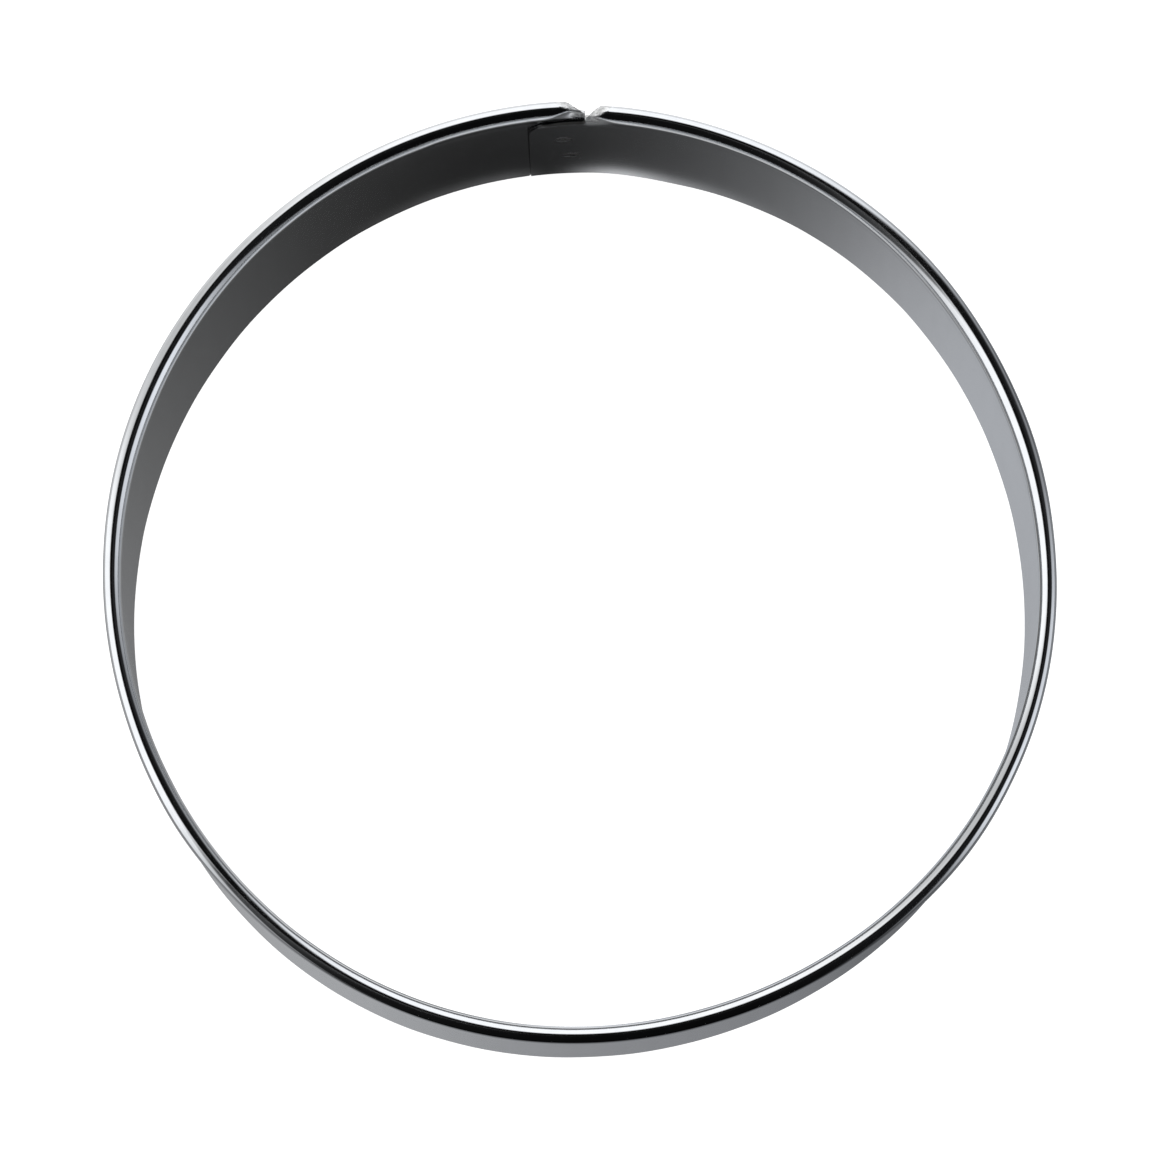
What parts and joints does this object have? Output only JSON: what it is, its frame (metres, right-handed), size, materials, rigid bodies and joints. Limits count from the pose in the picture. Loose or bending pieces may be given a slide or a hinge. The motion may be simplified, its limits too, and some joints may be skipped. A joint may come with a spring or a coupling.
{
  "type": "biscuit cutter",
  "caption": "Round ring cutter of thin sheet steel with a rolled hem along the top edge and a lapped, spot-welded join.",
  "frame": {"origin": "centre of the ring, on the plane of the cutting edge", "axes": "+Z from the cutting edge up to the hem, +Y towards the lapped join"},
  "size_m": [0.0826, 0.0826, 0.022],
  "materials": {
    "rolled_steel": "bright rolled stainless sheet, polished along the hem, faint grain along the strip",
    "weld_steel": "pressed and slightly darkened by the weld's heat"
  },
  "bodies": {
    "root": {"band": "rolled_steel", "spot_weld_upper": "weld_steel", "spot_weld_lower": "weld_steel"}
  },
  "joints": []
}
